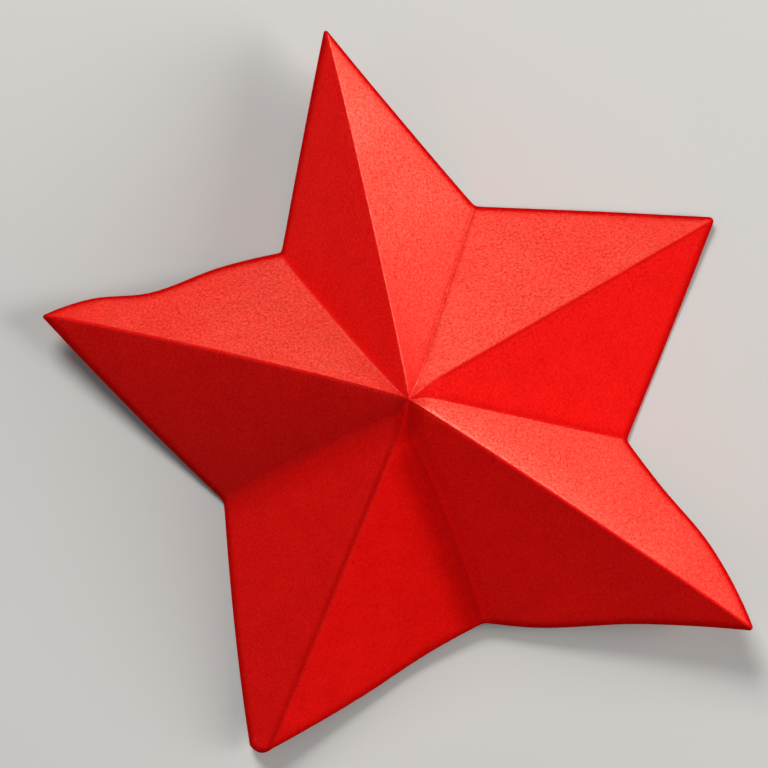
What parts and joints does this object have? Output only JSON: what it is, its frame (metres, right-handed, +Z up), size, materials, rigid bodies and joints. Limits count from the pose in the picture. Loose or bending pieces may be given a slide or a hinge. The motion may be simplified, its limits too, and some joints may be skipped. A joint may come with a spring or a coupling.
{
  "type": "folded paper star",
  "caption": "Pointed star cut from one sheet of red paper, with alternating mountain and valley folds meeting at a raised centre, for use as a decoration.",
  "frame": {"origin": "on the plane that the star rests on, straight under the apex where the folds meet", "axes": "+Z up through the apex, +Y towards the tip of the first arm, +X to its right seen from above"},
  "size_m": [0.087, 0.0882, 0.022],
  "materials": {
    "red_paper": "matt red craft paper with a fine fibre mottle, the same on both sides"
  },
  "bodies": {
    "root": {"star_sheet": "red_paper"}
  },
  "joints": []
}
